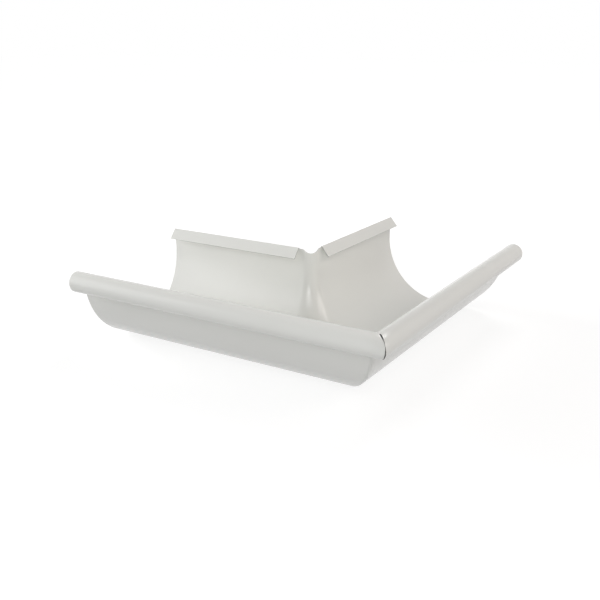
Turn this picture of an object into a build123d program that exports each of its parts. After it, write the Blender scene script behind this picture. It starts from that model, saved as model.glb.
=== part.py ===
from build123d import *
from math import cos, radians, sin, sqrt
import os

# Gutter external angle for a half-round roof gutter, pressed, rolled and folded from one steel sheet.
# Leg A runs along -X with its outer side facing -Y. Leg B runs along +Y with its outer side facing +X.
# The house stands in the inner corner, towards -X and +Y. The part rests on the plane Z = 0.
# A section is drawn with x across the trough, outwards from its axis, and y up from its axis.

# Driving dimensions, in millimetres and degrees
trough_diameter = 125.0  # outside of the half-round
sheet = 0.6  # steel and paint
leg_reach = 220.0  # from the crossing of the trough axes to each cut end

bead_diameter = 18.0  # outside of the rolled front edge
bead_rise = 0.7  # centre of the bead above the trough axis
roll_angle = 325.0  # turned by the sheet from the front wall to its free edge

mitre_radius = 3.0  # rounding of the front walls where they meet, on the outside
mitre_run_out = 15.0  # angle up from the bottom at which the rounding has died away
pressed_turn = 80.0  # part of the roll that is still pressed round the mitre

slit_start = 90.0  # turn of the roll at which the slit between the two beads begins
slit_top_width = 1.25
slit_waist_width = 0.1
slit_waist_rise = 4.5  # waist of the slit above the centre of the bead
slit_width = 0.8  # from the centre of the bead down
slit_wall_gap = 0.4  # slit's inner end clear of the front wall

bend_radius = 10.0  # rear walls' bend at the house corner, on the house side
fold_top = 21.0  # top of the rear fold above the trough axis
fold_radius = 0.9  # outside of the fold
lip_angle = 50.0  # slope of the lip below level
lip_width = 10.8  # flat of the lip, from the fold to its free edge
lip_end_gap = 4.0  # straight wall between the bend and the end of each lip

dip_depth = 3.7  # of the dip in the rim over the bend
dip_radius = 8.0
dip_shoulder_radius = 3.0

# Sizes that follow from them
radius = trough_diameter / 2
bead_radius = bead_diameter / 2
bead_reach = radius - sheet + bead_radius  # trough axis to bead centre
outer_reach = bead_reach + bead_radius
bend_reach = radius + bend_radius  # trough axis to the vertical axis of the bend
rim = fold_top - fold_radius
lip_run = leg_reach - bend_reach - lip_end_gap

# The middle of the footprint is the origin, so the trough axes cross here
corner = Vector((leg_reach - outer_reach) / 2, (outer_reach - leg_reach) / 2, radius)
end_a = Plane(origin=corner - (leg_reach, 0, 0), x_dir=(0, -1, 0), z_dir=(-1, 0, 0))
end_b = Plane(origin=corner + (0, leg_reach, 0), x_dir=(1, 0, 0), z_dir=(0, -1, 0))


def across_mitre(reach):
    """Upright plane square to the mitre, where a line of the section at this reach turns the corner."""
    return Plane(origin=corner + (reach, -reach, 0), x_dir=(1, 1, 0), z_dir=(1, -1, 0))


def strip(faces):
    """Closes the two face lines of the sheet, each drawn from one edge of the strip to the other."""
    outside, inside = faces
    Line(outside[0] @ 0, inside[0] @ 0)
    Line(outside[-1] @ 1, inside[-1] @ 1)


def trough_arc(depth, start, turn):
    return CenterArc((0, 0), radius - depth, start, turn)


def bead_arc(depth, start, turn):
    """Stretch of the roll. The sheet's channel face becomes the outside of the bead."""
    return CenterArc((bead_reach, bead_rise), bead_radius - sheet + depth, 180 - start, -turn)


def front_wall(depth):
    arc = trough_arc(depth, -90 + mitre_run_out, 90 - mitre_run_out)
    upright = Line(arc @ 1, (radius - depth, bead_rise))
    return arc, upright, bead_arc(depth, 0, pressed_turn)


def rear_wall(depth):
    arc = trough_arc(depth, -90, -90)
    return arc, Line(arc @ 1, (depth - radius, rim))


def lip(depth):
    fold = CenterArc((fold_radius - radius, rim), fold_radius - depth, 180, -90 - lip_angle)
    run = (lip_width * cos(radians(lip_angle)), -lip_width * sin(radians(lip_angle)))
    return fold, Line(fold @ 1, fold @ 1 + run)


# Routes of the section from the end of leg B to the end of leg A
with BuildLine() as mitred_route:
    Polyline(end_b.origin, corner, end_a.origin)
with BuildLine() as bent_route:
    FilletPolyline(end_b.origin, corner, end_a.origin, radius=bend_reach)

with BuildPart() as gutter_angle:
    # Front walls and the root of the bead, mitred and then rounded, the channel face first
    with BuildSketch(end_b):
        with BuildLine():
            strip([front_wall(0), front_wall(sheet)])
        make_face()
    sweep(path=mitred_route.line, transition=Transition.RIGHT)
    channel_mitre = edges().filter_by(GeomType.ELLIPSE).sort_by(SortBy.LENGTH)[-2]
    fillet(channel_mitre, mitre_radius - sheet)
    outer_mitre = edges().filter_by(GeomType.ELLIPSE).sort_by(SortBy.LENGTH)[-1]
    fillet(outer_mitre, mitre_radius)

    # Front of the floor, where the mitre is too flat to need rounding
    with BuildSketch(end_b):
        with BuildLine():
            floor_arcs = [trough_arc(depth, -90, mitre_run_out) for depth in (0, sheet)]
            strip([[arc] for arc in floor_arcs])
        make_face()
    sweep(path=mitred_route.line, transition=Transition.RIGHT)

    # Rest of the bead, rolled over, down and back under to a free edge beside the wall
    with BuildSketch(end_b):
        with BuildLine():
            roll_arcs = [bead_arc(depth, pressed_turn, roll_angle - pressed_turn) for depth in (0, sheet)]
            strip([[arc] for arc in roll_arcs])
        make_face()
    sweep(path=mitred_route.line, transition=Transition.RIGHT)

    # Slit between the two beads: wide on top, almost closed at the waist, open again below
    slit_reach = bead_reach - bead_radius * cos(radians(slit_start))
    slit_run = sqrt(2) * bead_diameter
    with BuildSketch(across_mitre(slit_reach)):
        with BuildLine():
            top = bead_rise + bead_diameter
            waist = bead_rise + slit_waist_rise
            narrowing = (slit_top_width - slit_waist_width) / (bead_radius - slit_waist_rise)
            mouth = slit_waist_width + narrowing * (top - waist)
            right = Polyline(
                (mouth / 2, top), (slit_waist_width / 2, waist), (slit_width / 2, bead_rise),
                (slit_width / 2, bead_rise - bead_diameter),
            )
            left = mirror(right, about=Plane.YZ)
            Line(right @ 0, left @ 0)
            Line(right @ 1, left @ 1)
        make_face()
    extrude(amount=slit_run, mode=Mode.SUBTRACT)
    with BuildSketch(across_mitre(radius + slit_wall_gap)):
        with Locations((0, bead_rise)):
            Rectangle(slit_width, bead_diameter, align=(Align.CENTER, Align.MAX))
    extrude(amount=slit_run, mode=Mode.SUBTRACT)

    # Rear half of the trough and its wall, carried round the house corner in one bend
    with BuildSketch(end_b):
        with BuildLine():
            strip([rear_wall(0), rear_wall(sheet)])
        make_face()
    sweep(path=bent_route.line)

    # Flat of the floor between the bend's lowest line and the two trough axes
    with BuildSketch(Plane(origin=corner - (0, 0, radius))):
        with BuildLine():
            Polyline((-bend_reach, 0), (0, 0), (0, bend_reach))
            RadiusArc((0, bend_reach), (-bend_reach, 0), bend_reach)
        make_face()
    extrude(amount=sheet)

    # Rear lips, folded in over the channel and cut square before the bend
    for end, run in ((end_a, -lip_run), (end_b, lip_run)):
        with BuildSketch(end):
            with BuildLine():
                strip([lip(0), lip(sheet)])
            make_face()
        extrude(amount=run)

    # Dip in the rim over the bend, with rounded shoulders
    with BuildSketch(across_mitre(-bend_reach)):
        with Locations((0, rim - dip_depth + dip_radius)):
            Circle(dip_radius)
        with Locations((0, rim)):
            Rectangle(
                sqrt(2) * (bend_radius + lip_end_gap), dip_radius, align=(Align.CENTER, Align.MIN)
            )
        on_rim = vertices().group_by(Axis.Y)[1]
        fillet(on_rim.sort_by(Axis.X)[1:3], dip_shoulder_radius)
    extrude(amount=sqrt(2) * bend_radius, mode=Mode.SUBTRACT)

gutter_angle.part.label = "gutter_angle"

os.makedirs("parts", exist_ok=True)
export_step(gutter_angle.part, "parts/gutter_angle.step")
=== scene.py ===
"""White painted outside corner of a half-round roof gutter, standing in a pale studio.

The whole object is one steel sheet. Its section is one line, drawn from the free edge of the rear
lip, over the fold, down the rear wall, round the half-round and up the front wall into the rolled
bead. Every vertex is a point of that line, carried along a leg or round the corner, plus a depth
into the sheet.

Corner coordinates have their origin where the two trough axes cross. Leg A runs along -X with its
bead facing -Y. Leg B is its mirror image, along +Y. Reach is the distance outwards from the trough
axis, and height the distance up from it.
"""

from math import cos, pi, radians, sin, sqrt

import bmesh
import bpy
import numpy as np
from mathutils import Matrix, Vector


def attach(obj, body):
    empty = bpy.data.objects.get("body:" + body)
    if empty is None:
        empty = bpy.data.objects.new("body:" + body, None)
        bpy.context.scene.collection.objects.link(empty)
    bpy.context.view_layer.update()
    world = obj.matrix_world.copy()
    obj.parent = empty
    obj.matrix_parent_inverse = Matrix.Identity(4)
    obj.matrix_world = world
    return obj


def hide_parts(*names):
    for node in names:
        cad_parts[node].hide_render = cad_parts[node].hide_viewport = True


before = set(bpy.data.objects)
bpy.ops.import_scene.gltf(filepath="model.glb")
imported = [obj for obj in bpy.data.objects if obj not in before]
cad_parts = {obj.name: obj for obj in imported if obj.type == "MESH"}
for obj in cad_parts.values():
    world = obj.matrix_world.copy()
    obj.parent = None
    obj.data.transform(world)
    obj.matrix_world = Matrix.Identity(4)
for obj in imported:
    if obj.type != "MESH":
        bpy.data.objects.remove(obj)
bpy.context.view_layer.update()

bl_info = {
    "name": "Gutter External Angle",
    "version": (1, 0, 0),
    "blender": (4, 5, 0),
    "location": "View3D > Sidebar > Gutter Angle",
    "description": "Builds a half-round gutter's outside corner from its sheet-metal sizes",
    "category": "Object",
}

NODE = "gutter_angle"
BODY = "root"
SHEET_NAME = "gutter_angle_sheet"

# Levels of the mesh grid at each face of the sheet, and how many of them the paint covers
EDGE_LEVELS = 4
PAINTED_LEVELS = 2

# Rows of the grid down the section, and its columns along the gutter
FOLD_ROWS = 15
WALL_ROWS = 14
REAR_ROWS = 31
FRONT_ROWS = 37
ROOT_ROWS = 19
ROLL_ROWS = 61
FLOOR_ROWS = 5
LEG_COLUMNS = 25
GAP_COLUMNS = 9
BEND_COLUMNS = 33
FLOOR_COLUMNS = 17
MITRE_COLUMNS = 9

LIP_STEPS = (0.0, 0.0004, 0.002, 0.005, 0.008)  # distances of the rows from the lip's free edge
RIM_SHARES = (1.0, 0.985)  # heights of the rear wall's first rows, as shares of the rim's height
WALL_SHARE = 0.93  # and the share at which its even rows begin

# Points closer than this are one, and edges shorter than this are dropped
WELD_GAP = 1e-6
SHORTEST_EDGE = 1e-7
SHARP_ANGLE = radians(40.0)

# Patches of paint per metre, their noise detail, and the noise values at their two ends
TONE_SCALE = 14.0
TONE_DETAIL = 3.0
TONE_ENDS = (0.35, 0.65)
SATIN_SCALE = 60.0
SATIN_DETAIL = 4.0
SATIN_ENDS = (0.3, 0.7)
PEEL_DETAIL = 0.0
EDGE_METALLIC = 0.4  # the paint's line partly covers the steel of a cut edge

# Azimuth and elevation of each softbox in degrees, and its width in metres
SOFTBOXES = {
    "left": (-84.0, 18.0, 0.45),
    "side": (-65.0, 12.0, 1.2),
    "front": (30.0, 10.0, 0.55),
    "crown": (30.0, 30.0, 0.6),
    "right": (110.0, 32.0, 0.8),
    "top": (180.0, 55.0, 0.55),
}
LAMP_DISTANCE = 1.3
LAMP_AIM = Vector((0.03, -0.03, 0.04))

HORIZON = 0.25  # the room's light changes over directions whose height is within this of level
FLOOR_REACH = 6.0
FLOOR_GREY = 0.35
FLOOR_GLOW = 0.77  # near the gutter, where the lamps light the floor too
GLOW_START = 0.3  # distance from the middle of the floor at which the glow begins to grow
GLOW_END = 0.7  # and at which it is plain white
SENSOR_WIDTH = 36.0  # millimetres
NEAREST_SEEN = 0.01


def length_property(name, description, default):
    """A size in metres."""
    return bpy.props.FloatProperty(
        name=name, description=description, default=default, min=0.0, precision=5,
        unit="LENGTH", subtype="DISTANCE",
    )


def angle_property(name, description, degrees):
    """An angle, written in degrees and kept in radians."""
    return bpy.props.FloatProperty(
        name=name, description=description, default=radians(degrees),
        unit="ROTATION", subtype="ANGLE",
    )


def share_property(name, description, default, top=1.0):
    """A plain number from nought to the top."""
    return bpy.props.FloatProperty(
        name=name, description=description, default=default, min=0.0, max=top
    )


def colour_property(name, description, default):
    """A linear colour."""
    return bpy.props.FloatVectorProperty(
        name=name, description=description, default=default, size=3,
        min=0.0, max=1.0, subtype="COLOR",
    )


def power_property(name, description, default):
    """A lamp's power in watts."""
    return bpy.props.FloatProperty(
        name=name, description=description, default=default, unit="POWER"
    )


class SheetSizes(bpy.types.PropertyGroup):
    """Sizes of the folded and rolled sheet."""

    trough_radius: length_property("Trough radius", "Outside of the half-round", 0.0625)
    sheet: length_property("Sheet", "Thickness of the painted steel", 0.0006)
    leg_reach: length_property("Leg reach", "From the crossing of the trough axes to an end", 0.220)
    edge_radius: length_property("Edge radius", "Rounding of the painted cut edges", 0.00015)
    bead_radius: length_property("Bead radius", "Outside radius of the rolled front edge", 0.009)
    bead_rise: length_property("Bead rise", "Centre of the bead above the trough axis", 0.0007)
    roll_turn: angle_property("Roll", "Turned by the sheet between wall and free edge", 325.0)
    mitre_radius: length_property("Mitre radius", "Outside rounding of the front mitre", 0.003)
    slit_start: angle_property("Slit start", "Turn of the roll at which the slit begins", 90.0)
    slit_top: length_property("Slit top", "Width of the slit on top of the bead", 0.00125)
    slit_waist: length_property("Slit waist", "Width of the slit where it nearly closes", 0.0001)
    waist_rise: length_property("Waist rise", "Waist of the slit above the bead's centre", 0.0045)
    slit_width: length_property("Slit width", "Width from the bead's centre down", 0.0008)
    bend_radius: length_property("Bend radius", "House-side radius of the rear bend", 0.010)
    fold_top: length_property("Fold top", "Top of the rear fold above the trough axis", 0.021)
    fold_radius: length_property("Fold radius", "Outside radius of the rear fold", 0.0009)
    lip_slope: angle_property("Lip slope", "Slope of the rear lip below level", 50.0)
    lip_width: length_property("Lip width", "Flat of the rear lip", 0.0108)
    lip_gap: length_property("Lip gap", "Straight wall between the rear bend and a lip", 0.004)
    dip_depth: length_property("Dip depth", "Depth of the dip in the rim over the bend", 0.0037)
    dip_radius: length_property("Dip radius", "Radius of the dip", 0.008)
    dip_shoulder: length_property("Dip shoulder", "Radius of the dip's shoulders", 0.003)


class PaintFinish(bpy.types.PropertyGroup):
    """Factory coating on galvanised steel."""

    colour: colour_property("Paint", "Colour of the coating", (0.815, 0.818, 0.787))
    shade: colour_property("Paint shade", "Tone that the paint drifts to", (0.808, 0.811, 0.779))
    steel: colour_property("Cut steel", "Galvanised steel on the cut edges", (0.50, 0.50, 0.49))
    roughness: share_property("Roughness", "Roughness of the satin coating", 0.22)
    roughness_drift: share_property("Roughness drift", "Change of the roughness either way", 0.02)
    refraction: share_property("Refraction", "Index of refraction of the coating", 1.45, 3.0)
    peel_size: length_property("Peel size", "Width of the dimples in the coating", 0.0025)
    peel_depth: length_property("Peel depth", "Depth of the dimples in the coating", 0.000004)


class StudioSettings(bpy.types.PropertyGroup):
    """Camera, lamps and backdrop."""

    azimuth: angle_property("Azimuth", "Direction of the camera round the object", 31.6922)
    elevation: angle_property("Elevation", "Height of the camera, as an angle", 18.2496)
    distance: length_property("Distance", "From the camera to the point it looks at", 0.66546)
    target: bpy.props.FloatVectorProperty(
        name="Target", description="Point looked at, from the crossing of the trough axes",
        default=(-0.0302, -0.01145, 0.0), size=3, unit="LENGTH", subtype="TRANSLATION",
    )
    lens: bpy.props.FloatProperty(
        name="Lens", description="Focal length on a 36 mm sensor", default=49.446, unit="CAMERA",
    )
    left: power_property("Left lamp", "Power of the low fill that looks along leg A", 8.6)
    side: power_property("Side lamp", "Power of the wide softbox on leg A's front left", 8.8)
    front: power_property("Front lamp", "Power of the low softbox in front of the corner", 3.5)
    crown: power_property("Crown lamp", "Power of the softbox above the front lamp", 3.7)
    right: power_property("Right lamp", "Power of the warm softbox beside leg B", 5.4)
    top: power_property("Top lamp", "Power of the softbox high behind the gutter", 4.5)
    warmth: colour_property("Warmth", "Colour of the right lamp", (1.0, 0.925, 0.88))
    above: share_property("Room above", "Brightness of the white room's upper half", 0.0, 4.0)
    below: share_property("Room below", "Brightness of the white room's lower half", 0.38, 4.0)


def sheet_levels(size):
    """Depths through the sheet, and how far each level stands back from a cut edge.

    Both follow a quarter circle: depth is the edge radius times one less the cosine of the turn,
    and setback is the edge radius times one less its sine. The channel side repeats it in reverse.
    """
    turn = np.linspace(0.0, pi / 2, EDGE_LEVELS)
    depth = size.edge_radius * (1.0 - np.cos(turn))
    setback = size.edge_radius * (1.0 - np.sin(turn))
    depths = np.concatenate((depth, size.sheet - depth[::-1]))
    return depths, np.concatenate((setback, setback[::-1]))


def arc(centre, radius, angles, side):
    """Points centre + radius * (cos, sin), with normals side * (cos, sin), as reach and height."""
    ring = np.stack((np.cos(angles), np.sin(angles)), axis=-1)
    return np.array(centre) + radius * ring, side * ring


def at_depth(line, normals, depth):
    """Moves each point of a section line along its normal: line + depth * normal."""
    return line + depth * normals


def lip_section(size, depth, setback):
    """Straight lip from its free edge to the fold, then the fold's arc down to the rear wall."""
    centre = (size.fold_radius - size.trough_radius, size.fold_top - size.fold_radius)
    angles = np.linspace(pi / 2 - size.lip_slope, pi, FOLD_ROWS)
    fold, fold_normals = arc(centre, size.fold_radius, angles, -1.0)
    run = size.lip_width - np.array(LIP_STEPS)
    run[0] -= setback
    flat = fold[0] + run[:, None] * np.array((cos(size.lip_slope), -sin(size.lip_slope)))
    flat_normals = np.repeat(fold_normals[:1], len(run), axis=0)
    return at_depth(
        np.concatenate((flat, fold)), np.concatenate((flat_normals, fold_normals)), depth
    )


def rear_section(size, depth, top):
    """Rear wall from its top, given for each column, down to the axis, then a quarter circle.

    Heights on the wall are a share of the top, so the rows follow the dip in the rim.
    """
    share = np.concatenate((RIM_SHARES, np.linspace(WALL_SHARE, 0.0, WALL_ROWS)))
    wall_height = share[:, None] * top
    wall_reach = np.full_like(wall_height, depth - size.trough_radius)
    angles = np.linspace(pi, 1.5 * pi, REAR_ROWS)[1:]
    curve = at_depth(*arc((0.0, 0.0), size.trough_radius, angles, -1.0), depth)
    columns = np.ones(top.shape[-1])
    reach = np.concatenate((wall_reach, curve[:, :1] * columns))
    height = np.concatenate((wall_height, curve[:, 1:] * columns))
    return reach, height


def rim_height(size, across):
    """Top of the rear wall at a distance across the mitre plane.

    Within the dip it is a circle, height = centre - sqrt(radius^2 - across^2). A shoulder circle
    touches the dip and the level rim, and beyond it the rim is level.
    """
    rim = size.fold_top - size.fold_radius
    lift = size.dip_radius - size.dip_depth
    shoulder_at = sqrt((size.dip_radius + size.dip_shoulder) ** 2 - (lift + size.dip_shoulder) ** 2)
    touch = shoulder_at * size.dip_radius / (size.dip_radius + size.dip_shoulder)
    across = np.abs(across)
    inner = np.minimum(across, touch)
    outer = np.clip(shoulder_at - across, 0.0, shoulder_at - touch)
    dip = rim + lift - np.sqrt(size.dip_radius ** 2 - inner ** 2)
    shoulder = rim - size.dip_shoulder + np.sqrt(size.dip_shoulder ** 2 - outer ** 2)
    return np.where(across < touch, dip, shoulder)


def front_section(size, depth, last_turn):
    """Front quarter circle up to the wall, then the root of the roll to the start of the slit."""
    angles = np.linspace(-pi / 2, 0.0, FRONT_ROWS)
    curve = at_depth(*arc((0.0, 0.0), size.trough_radius, angles, -1.0), depth)
    turns = np.linspace(0.0, 1.0, ROOT_ROWS) * last_turn
    return np.concatenate((curve, roll_section(size, depth, turns)))


def roll_section(size, depth, turns):
    """Stretch of the roll: an arc about the bead's centre, whose channel face is on the outside."""
    centre = (size.trough_radius - size.sheet + size.bead_radius, size.bead_rise)
    return at_depth(*arc(centre, size.bead_radius - size.sheet, pi - turns, 1.0), depth)


def mitre_rounding(size, section, depth, last_turn):
    """Plan radius of the corner for each point of the front section.

    On the half-round it is sheet * cos + (mitre radius - sheet) * cos^2 of the angle below level,
    less depth * cos, so it dies away to nothing at the bottom. Up the roll it is the mitre radius
    less depth * cos of the turn, and blends into the slit's offset by 3 share^2 - 2 share^3.
    """
    angles = np.linspace(-pi / 2, 0.0, FRONT_ROWS)
    full = size.sheet * np.cos(angles) + (size.mitre_radius - size.sheet) * np.cos(angles) ** 2
    wall = full - depth * np.cos(angles)
    share = np.linspace(0.0, 1.0, ROOT_ROWS)
    blend = share * share * (3.0 - 2.0 * share)
    root = size.mitre_radius - depth * np.cos(share * last_turn)
    root = (1.0 - blend) * root + blend * slit_offset(size, section[FRONT_ROWS:, 1])
    return np.maximum(np.concatenate((wall, root)), 0.0)


def slit_offset(size, height):
    """From the mitre line to the slit's edge along a leg: the slit's width over the root of two.

    The width falls in a straight line from the top to the waist, and grows again to the centre.
    """
    above = height - size.bead_rise
    flare = (size.slit_top - size.slit_waist) / (size.bead_radius - size.waist_rise)
    upper = size.slit_waist + flare * (above - size.waist_rise)
    middle = size.slit_width + (size.slit_waist - size.slit_width) * above / size.waist_rise
    lower = np.where(above > 0.0, middle, size.slit_width)
    return np.where(above > size.waist_rise, upper, lower) / sqrt(2.0)


def along_leg(travel, reach, height):
    """Points of leg A at a distance travelled along X: (travel, -reach, height)."""
    return np.stack(np.broadcast_arrays(travel, -reach, height), axis=-1)


def round_bend(size, turn, reach, height):
    """Points of the rear bend: its axis + (axis distance + reach) * (sin turn, -cos turn)."""
    axis = size.trough_radius + size.bend_radius
    x = -axis + (axis + reach) * np.sin(turn)
    y = axis - (axis + reach) * np.cos(turn)
    return np.stack(np.broadcast_arrays(x, y, height), axis=-1)


def round_mitre(turn, centre, radius, height):
    """Points of the rounded mitre: (centre, -centre) + radius * (sin turn, -cos turn)."""
    x = centre + radius * np.sin(turn)
    y = -centre - radius * np.cos(turn)
    return np.stack(np.broadcast_arrays(x, y, height), axis=-1)


def mirrored(points):
    """The other leg's points, across the mitre plane: (x, y) becomes (-y, -x)."""
    return points[..., (1, 0, 2)] * np.array((-1.0, -1.0, 1.0))


def leg_columns(size, setback, stop):
    """Travel of the columns from leg A's cut end to the stop, closer together near both.

    The share of the way is half of one less the cosine of an even turn.
    """
    start = setback - size.leg_reach
    share = 0.5 - 0.5 * np.cos(np.linspace(0.0, pi, LEG_COLUMNS))
    columns = -size.leg_reach + (stop + size.leg_reach) * share
    columns[0] = start
    return columns


def gap_columns(size):
    """Travel of the columns between the end of the lip and the start of the bend."""
    axis = size.trough_radius + size.bend_radius
    return np.linspace(-axis - size.lip_gap, -axis, GAP_COLUMNS)


def rear_patches(size):
    """Lip, rear wall and half of the floor: leg A's patches, their mirror images, and the bend."""
    beside_gap = gap_columns(size)
    lip_stop = beside_gap[0]
    rim = size.fold_top - size.fold_radius
    bend_turns = np.linspace(0.0, pi / 2, BEND_COLUMNS)
    lip, wall, gap, bend = [], [], [], []
    for depth, setback in zip(*sheet_levels(size)):
        columns = leg_columns(size, setback, lip_stop)
        lip_columns = columns.copy()
        lip_columns[-1] -= setback
        notch = (lip_stop - setback, size.trough_radius - depth, rim - setback)

        section = lip_section(size, depth, setback)
        points = along_leg(lip_columns, section[:, :1], section[:, 1:])
        points[-1, -1] = notch
        lip.append(points)

        reach, height = rear_section(size, depth, np.full(len(columns), rim))
        points = along_leg(columns, reach, height)
        points[0, -1] = notch
        wall.append(points)

        across = (beside_gap + size.trough_radius - depth) / sqrt(2.0)
        reach, height = rear_section(size, depth, rim_height(size, across) - setback)
        points = along_leg(beside_gap, reach, height)
        points[:, 0] = wall[-1][:, -1]
        gap.append(points)

        across = (size.bend_radius + depth) * np.sin(bend_turns - pi / 4)
        reach, height = rear_section(size, depth, rim_height(size, across) - setback)
        bend.append(round_bend(size, bend_turns, reach, height))
    one_leg = (
        (np.array(lip), ("first row", "first column", "last column")),
        (np.array(wall), ("first column",)),
        (np.array(gap), ("first row",)),
    )
    other_leg = tuple((mirrored(points), sides) for points, sides in one_leg)
    return one_leg + other_leg + ((np.array(bend), ("first row",)),)


def floor_patches(size):
    """Flat of the floor between the bend's lowest line and the two trough axes.

    Each column runs along a ray from the bend's axis, from the bend's lowest circle to the trough
    axis: (1 - share) * point on the circle + share * point on the axis.
    """
    axis = size.trough_radius + size.bend_radius
    turns = np.linspace(0.0, pi / 4, FLOOR_COLUMNS)
    circle = round_bend(size, turns, 0.0, 0.0)[..., :2]
    trough = np.stack((-axis + axis * np.tan(turns), np.zeros_like(turns)), axis=-1)
    share = np.linspace(0.0, 1.0, FLOOR_ROWS)[:, None, None]
    plan = (1.0 - share) * circle + share * trough
    depths, _ = sheet_levels(size)
    levels = [
        np.concatenate((plan, np.full(plan.shape[:2] + (1,), depth - size.trough_radius)), axis=-1)
        for depth in depths
    ]
    points = np.array(levels)
    return (points, ()), (mirrored(points), ())


def front_patches(size):
    """Front of the floor, front wall and rolled bead: leg A's patches, their mirror images, and
    the rounded mitre between them."""
    axis = size.trough_radius + size.bend_radius
    beside_gap = gap_columns(size)
    corner_share = np.tan(np.linspace(0.0, pi / 4, FLOOR_COLUMNS))[1:]
    mitre_turns = np.linspace(0.0, pi / 2, MITRE_COLUMNS)
    wall, bead, mitre = [], [], []
    for depth, setback in zip(*sheet_levels(size)):
        start = np.concatenate((leg_columns(size, setback, beside_gap[0]), beside_gap[1:]))
        last_turn = size.slit_start - setback / size.bead_radius

        section = front_section(size, depth, size.slit_start)
        radius = mitre_rounding(size, section, depth, size.slit_start)
        stop = (section[:, 0] - radius)[:, None]
        travel = np.concatenate(
            (start * np.ones_like(stop), -axis + (stop + axis) * corner_share), axis=1
        )
        points = along_leg(travel, section[:, :1], section[:, 1:])

        edge = front_section(size, depth, last_turn)
        edge_radius = mitre_rounding(size, edge, depth, last_turn)
        centre = edge[:, 0] - edge_radius
        corner = round_mitre(mitre_turns, centre[:, None], edge_radius[:, None], edge[:, 1:])
        notch = np.array((centre[-1] - setback, -edge[-1, 0], edge[-1, 1]))
        points[-1, -1] = notch
        corner[:-1, 0] = points[:-1, -1]
        corner[:-1, -1] = mirrored(points[:-1, -1])
        corner[-1, 0] = notch
        corner[-1, -1] = mirrored(notch)
        wall.append(points)
        mitre.append(corner)

        turns = np.linspace(size.slit_start, size.roll_turn, ROLL_ROWS)
        turns[-1] -= setback / size.bead_radius
        section = roll_section(size, depth, turns)
        stop = (section[:, 0] - slit_offset(size, section[:, 1]) - setback)[:, None]
        travel = np.concatenate(
            (start * np.ones_like(stop), -axis + (stop + axis) * corner_share), axis=1
        )
        points = along_leg(travel, section[:, :1], section[:, 1:])
        points[0] = wall[-1][-1]
        bead.append(points)
    one_leg = (
        (np.array(wall), ("first column",)),
        (np.array(bead), ("last row", "first column", "last column")),
    )
    other_leg = tuple((mirrored(points), sides) for points, sides in one_leg)
    return one_leg + other_leg + ((np.array(mitre), ("last row",)),)


def quads_of(index):
    """Corner indices of the quads of a grid of point numbers, turned so that the normal is the
    column direction crossed with the row direction."""
    corners = (index[:-1, :-1], index[:-1, 1:], index[1:, 1:], index[1:, :-1])
    return np.stack(corners, axis=-1).reshape(-1, 4)


def shell_faces(points, open_sides):
    """Quads of a slab of sheet: its two faces, and a strip through the sheet at each cut edge.

    Where level, row and column are left-handed in space, every quad is turned round.
    """
    levels, rows, columns = points.shape[:3]
    index = np.arange(levels * rows * columns).reshape(levels, rows, columns)
    strips = {
        "first row": index[:, 0].T,
        "last row": index[:, -1],
        "first column": index[:, :, 0],
        "last column": index[:, :, -1].T,
    }
    grids = [index[0], index[-1].T] + [strips[side] for side in open_sides]
    faces = np.concatenate([quads_of(grid) for grid in grids])
    row, column = rows // 2, columns // 2
    here = points[0, row, column]
    inwards = points[-1, row, column] - here
    down = points[0, row + 1, column] - here
    across = points[0, row, column + 1] - here
    if np.dot(np.cross(inwards, down), across) < 0.0:
        faces = faces[:, ::-1]
    return faces


def sheet_mesh(name, patches, offset):
    """Joins the patches into one closed mesh, whose shared points are welded.

    The attribute cut_edge is 1 on the middle levels, where the steel shows, and nought on the
    levels beside the two faces, which the paint covers.
    """
    points, faces, edge, count = [], [], [], 0
    for patch, open_sides in patches:
        level = np.arange(patch.shape[0])[:, None, None]
        between = (level >= PAINTED_LEVELS) & (level < patch.shape[0] - PAINTED_LEVELS)
        edge.append(np.broadcast_to(between, patch.shape[:3]).reshape(-1))
        faces.append(shell_faces(patch, open_sides) + count)
        points.append(patch.reshape(-1, 3))
        count += len(points[-1])
    points, faces, edge = np.concatenate(points), np.concatenate(faces), np.concatenate(edge)
    used, renumbered = np.unique(faces, return_inverse=True)
    faces = renumbered.reshape(-1, 4)
    mesh = bpy.data.meshes.new(name)
    mesh.from_pydata(points[used] + np.array(offset), [], faces.tolist())
    mesh.attributes.new("cut_edge", "FLOAT", "POINT").data.foreach_set(
        "value", edge[used].astype(np.float32)
    )
    welded = bmesh.new()
    welded.from_mesh(mesh)
    bmesh.ops.remove_doubles(welded, verts=welded.verts, dist=WELD_GAP)
    bmesh.ops.dissolve_degenerate(welded, edges=welded.edges, dist=SHORTEST_EDGE)
    welded.to_mesh(mesh)
    welded.free()
    mesh.shade_smooth()
    mesh.set_sharp_from_angle(angle=SHARP_ANGLE)
    return mesh


def noise(nodes, links, coordinates, scale, detail):
    """Soft noise of this many patches per metre, about a half on average."""
    texture = nodes.new("ShaderNodeTexNoise")
    texture.inputs["Scale"].default_value = scale
    texture.inputs["Detail"].default_value = detail
    links.new(coordinates, texture.inputs["Vector"])
    return texture.outputs["Fac"]


def map_range(nodes, links, value, low, high, to_low, to_high):
    """Carries a value from the range low to high over to the range to_low to to_high."""
    node = nodes.new("ShaderNodeMapRange")
    for socket, number in zip(node.inputs[1:5], (low, high, to_low, to_high)):
        socket.default_value = number
    links.new(value, node.inputs[0])
    return node.outputs[0]


def mix_colour(nodes, links, factor, first, second):
    """Mixes two colours, each a tuple or a socket, by a factor socket."""
    node = nodes.new("ShaderNodeMix")
    node.data_type = "RGBA"
    links.new(factor, node.inputs["Factor"])
    for socket, colour in ((node.inputs[6], first), (node.inputs[7], second)):
        if isinstance(colour, bpy.types.NodeSocket):
            links.new(colour, socket)
        else:
            socket.default_value = (*colour, 1.0)
    return node.outputs[2]


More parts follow.
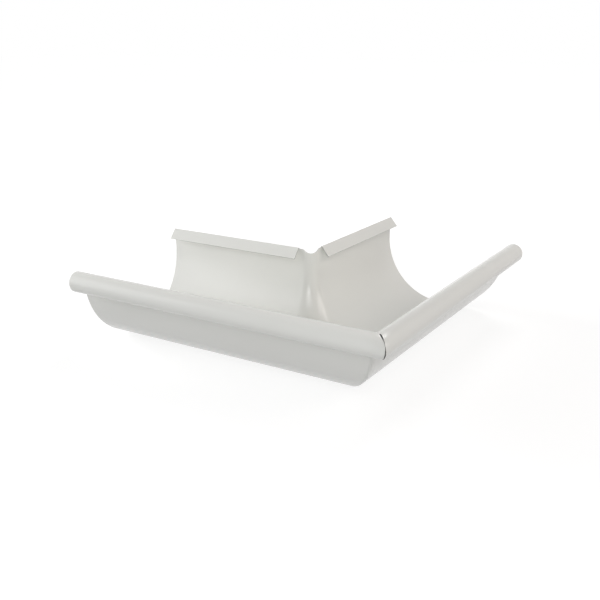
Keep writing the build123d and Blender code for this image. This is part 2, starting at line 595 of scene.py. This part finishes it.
def paint_material(finish):
    """Satin coating whose tone and roughness drift a little, with fine dimples, and zinc-grey steel
    on the cut edges."""
    material = bpy.data.materials.new("white_paint")
    material.use_nodes = True
    nodes, links = material.node_tree.nodes, material.node_tree.links
    shader = nodes["Principled BSDF"]
    coordinates = nodes.new("ShaderNodeTexCoord").outputs["Object"]
    cut_edge = nodes.new("ShaderNodeAttribute")
    cut_edge.attribute_name = "cut_edge"

    tone = noise(nodes, links, coordinates, TONE_SCALE, TONE_DETAIL)
    drift = map_range(nodes, links, tone, *TONE_ENDS, 0.0, 1.0)
    paint = mix_colour(nodes, links, drift, finish.colour, finish.shade)
    colour = mix_colour(nodes, links, cut_edge.outputs["Fac"], paint, finish.steel)
    links.new(colour, shader.inputs["Base Color"])

    smoothest = finish.roughness - finish.roughness_drift
    roughest = finish.roughness + finish.roughness_drift
    satin = noise(nodes, links, coordinates, SATIN_SCALE, SATIN_DETAIL)
    roughness = map_range(nodes, links, satin, *SATIN_ENDS, smoothest, roughest)
    links.new(roughness, shader.inputs["Roughness"])
    shader.inputs["IOR"].default_value = finish.refraction

    steel = map_range(nodes, links, cut_edge.outputs["Fac"], 0.0, 1.0, 0.0, EDGE_METALLIC)
    links.new(steel, shader.inputs["Metallic"])

    dimples = noise(nodes, links, coordinates, 1.0 / finish.peel_size, PEEL_DETAIL)
    bump = nodes.new("ShaderNodeBump")
    bump.inputs["Distance"].default_value = finish.peel_depth
    links.new(dimples, bump.inputs["Height"])
    links.new(bump.outputs["Normal"], shader.inputs["Normal"])
    return material


def corner_position(size):
    """Crossing of the trough axes, from the middle of the footprint that the frame is built on."""
    outer_reach = size.trough_radius - size.sheet + 2.0 * size.bead_radius
    shift = (size.leg_reach - outer_reach) / 2.0
    return Vector((shift, -shift, size.trough_radius))


class GUTTER_OT_sheet(bpy.types.Operator):
    """Build the folded, rolled and mitred sheet in place of the plain solid"""

    bl_idname = "gutter.sheet"
    bl_label = "Build Sheet"

    def execute(self, context):
        size = context.scene.gutter_sheet
        patches = rear_patches(size) + floor_patches(size) + front_patches(size)
        mesh = sheet_mesh(SHEET_NAME, patches, corner_position(size))
        piece = bpy.data.objects.new(SHEET_NAME, mesh)
        context.scene.collection.objects.link(piece)
        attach(piece, BODY)
        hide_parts(NODE)
        return {"FINISHED"}


class GUTTER_OT_paint(bpy.types.Operator):
    """Paint the sheet with the factory coating"""

    bl_idname = "gutter.paint"
    bl_label = "Paint Sheet"

    def execute(self, context):
        material = paint_material(context.scene.gutter_finish)
        bpy.data.objects[SHEET_NAME].data.materials.append(material)
        return {"FINISHED"}


def direction(azimuth, elevation):
    """Unit vector towards a lamp or the camera: (sin azimuth * cos elevation, -cos azimuth * cos
    elevation, sin elevation). Azimuth is counted from -Y towards +X."""
    return Vector((sin(azimuth) * cos(elevation), -cos(azimuth) * cos(elevation), sin(elevation)))


def softbox(context, name, power):
    """A square area lamp that faces the gutter from its own direction, all at one distance."""
    azimuth, elevation, width = SOFTBOXES[name]
    lamp = bpy.data.lights.new(name, "AREA")
    lamp.shape = "SQUARE"
    lamp.size = width
    lamp.energy = power
    piece = bpy.data.objects.new(name, lamp)
    way = direction(radians(azimuth), radians(elevation))
    piece.location = LAMP_AIM + LAMP_DISTANCE * way
    piece.rotation_euler = way.to_track_quat("Z", "Y").to_euler()
    context.scene.collection.objects.link(piece)
    return piece


def seen_rays(nodes, links):
    """One for camera, glossy and transmission rays, which look at the backdrop, or else nought."""
    rays = nodes.new("ShaderNodeLightPath").outputs
    total = rays["Is Camera Ray"]
    for name in ("Is Glossy Ray", "Is Transmission Ray"):
        either = nodes.new("ShaderNodeMath")
        either.operation = "MAXIMUM"
        links.new(total, either.inputs[0])
        links.new(rays[name], either.inputs[1])
        total = either.outputs[0]
    return total


def white_world(context, above, below):
    """A white room that is seen as plain white, and lights the gutter above and below level by the
    two given strengths."""
    world = bpy.data.worlds.new("white_room")
    world.use_nodes = True
    # The strength depends on the kind of ray, so the room isn't sampled as a lamp
    world.cycles.sampling_method = "NONE"
    nodes, links = world.node_tree.nodes, world.node_tree.links
    split = nodes.new("ShaderNodeSeparateXYZ")
    links.new(nodes.new("ShaderNodeTexCoord").outputs["Generated"], split.inputs[0])
    light = map_range(nodes, links, split.outputs["Z"], -HORIZON, HORIZON, below, above)
    strength = nodes.new("ShaderNodeMix")
    links.new(seen_rays(nodes, links), strength.inputs["Factor"])
    links.new(light, strength.inputs["A"])
    strength.inputs["B"].default_value = 1.0
    nodes["Background"].inputs["Color"].default_value = (1.0, 1.0, 1.0, 1.0)
    links.new(strength.outputs["Result"], nodes["Background"].inputs["Strength"])
    context.scene.world = world


def floor_material():
    """Grey matt floor that glows for the camera, so that it looks pale and a faint shadow shows.

    The glow grows with the distance from the gutter, to plain white away from the lamps.
    """
    material = bpy.data.materials.new("pale_floor")
    material.use_nodes = True
    nodes, links = material.node_tree.nodes, material.node_tree.links
    nodes.remove(nodes["Principled BSDF"])
    matt = nodes.new("ShaderNodeBsdfDiffuse")
    matt.inputs["Color"].default_value = (FLOOR_GREY, FLOOR_GREY, FLOOR_GREY, 1.0)
    away = nodes.new("ShaderNodeVectorMath")
    away.operation = "LENGTH"
    links.new(nodes.new("ShaderNodeTexCoord").outputs["Object"], away.inputs[0])
    strength = map_range(
        nodes, links, away.outputs["Value"], GLOW_START, GLOW_END, FLOOR_GLOW, 1.0
    )
    shown = nodes.new("ShaderNodeMath")
    shown.operation = "MULTIPLY"
    links.new(seen_rays(nodes, links), shown.inputs[0])
    links.new(strength, shown.inputs[1])
    glow = nodes.new("ShaderNodeEmission")
    links.new(shown.outputs[0], glow.inputs["Strength"])
    total = nodes.new("ShaderNodeAddShader")
    links.new(matt.outputs[0], total.inputs[0])
    links.new(glow.outputs[0], total.inputs[1])
    links.new(total.outputs[0], nodes["Material Output"].inputs["Surface"])
    return material


class GUTTER_OT_studio(bpy.types.Operator):
    """Set up the floor, the lamps, the white room and the camera"""

    bl_idname = "gutter.studio"
    bl_label = "Set Up Studio"

    def execute(self, context):
        studio = context.scene.gutter_studio
        crossing = corner_position(context.scene.gutter_sheet)

        mesh = bpy.data.meshes.new("floor")
        around = ((-1.0, -1.0), (1.0, -1.0), (1.0, 1.0), (-1.0, 1.0))
        corners = [(FLOOR_REACH * x, FLOOR_REACH * y, 0.0) for x, y in around]
        mesh.from_pydata(corners, [], [(0, 1, 2, 3)])
        mesh.materials.append(floor_material())
        floor = bpy.data.objects.new("floor", mesh)
        context.scene.collection.objects.link(floor)
        # The room lights the gutter from below through the floor
        floor.visible_diffuse = False
        floor.visible_shadow = False

        lamps = {name: softbox(context, name, getattr(studio, name)) for name in SOFTBOXES}
        lamps["right"].data.color = studio.warmth
        # The left lamp is a plain fill, whose reflection would burn out the channel's floor
        lamps["left"].visible_glossy = False
        white_world(context, studio.above, studio.below)

        turn, rise = studio.azimuth, studio.elevation
        back = direction(turn, rise)
        right = Vector((cos(turn), sin(turn), 0.0))
        place = crossing + Vector(studio.target) + studio.distance * back
        data = bpy.data.cameras.new("camera")
        data.sensor_fit = "HORIZONTAL"
        data.sensor_width = SENSOR_WIDTH
        data.lens = studio.lens
        data.clip_start = NEAREST_SEEN
        camera = bpy.data.objects.new("camera", data)
        axes = Matrix((right, back.cross(right), back)).transposed()
        camera.matrix_world = Matrix.Translation(place) @ axes.to_4x4()
        context.scene.collection.objects.link(camera)
        context.scene.camera = camera
        context.scene.view_settings.view_transform = "Standard"
        return {"FINISHED"}


class GUTTER_PT_panel(bpy.types.Panel):
    """Lists the steps and the sizes of the gutter angle"""

    bl_idname = "GUTTER_PT_panel"
    bl_label = "Gutter Angle"
    bl_space_type = "VIEW_3D"
    bl_region_type = "UI"
    bl_category = "Gutter Angle"

    def draw(self, context):
        for step in STEPS:
            self.layout.operator(step.bl_idname)
        for group_name, group in GROUPS.items():
            box = self.layout.box()
            for name in group.__annotations__:
                box.prop(getattr(context.scene, group_name), name)


GROUPS = {
    "gutter_sheet": SheetSizes,
    "gutter_finish": PaintFinish,
    "gutter_studio": StudioSettings,
}
STEPS = (GUTTER_OT_sheet, GUTTER_OT_paint, GUTTER_OT_studio)


def register():
    """Registers the classes, and hangs each group of settings on the scene."""
    for group in GROUPS.values():
        bpy.utils.register_class(group)
    for name, group in GROUPS.items():
        setattr(bpy.types.Scene, name, bpy.props.PointerProperty(type=group))
    for step in STEPS:
        bpy.utils.register_class(step)
    bpy.utils.register_class(GUTTER_PT_panel)


def unregister():
    """Takes everything back in the opposite order."""
    bpy.utils.unregister_class(GUTTER_PT_panel)
    for step in reversed(STEPS):
        bpy.utils.unregister_class(step)
    for name, group in reversed(list(GROUPS.items())):
        delattr(bpy.types.Scene, name)
        bpy.utils.unregister_class(group)


def main():
    """Builds the gutter angle and its studio."""
    register()
    bpy.ops.gutter.sheet()
    bpy.ops.gutter.paint()
    bpy.ops.gutter.studio()


if __name__ == "__main__":
    main()
